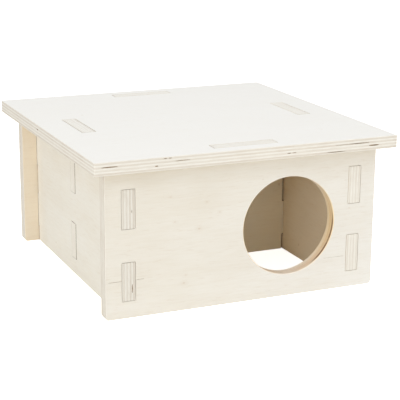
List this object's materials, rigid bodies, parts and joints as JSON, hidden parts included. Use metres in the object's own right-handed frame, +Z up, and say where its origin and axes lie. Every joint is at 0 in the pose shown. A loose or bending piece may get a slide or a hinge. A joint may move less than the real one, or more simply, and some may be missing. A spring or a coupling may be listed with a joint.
{
  "type": "hamster house",
  "caption": "Low square plywood hamster house with a round doorway, a partition making two rooms, tenoned walls and a lift-off slotted roof.",
  "frame": {"origin": "middle of the house on the surface that it stands on", "axes": "+X to the right along the front wall, +Y from the front wall to the back wall, +Z up"},
  "size_m": [0.25, 0.25, 0.1246],
  "materials": {
    "wall_plywood": "unfinished fine-sanded plywood, pale cream",
    "inner_plywood": "unfinished fine-sanded plywood, warm cream",
    "roof_plywood": "unfinished fine-sanded plywood, nearly white face"
  },
  "bodies": {
    "walls": {"front_wall": "wall_plywood", "back_wall": "wall_plywood", "left_wall": "wall_plywood", "right_wall": "wall_plywood", "partition_wall": "inner_plywood"},
    "roof": {"roof_panel": "roof_plywood"}
  },
  "joints": [
    {"name": "roof_lift", "type": "slide", "parent": "walls", "child": "roof", "axis": [0, 0, 1], "range_m": [0, 0.12]}
  ]
}
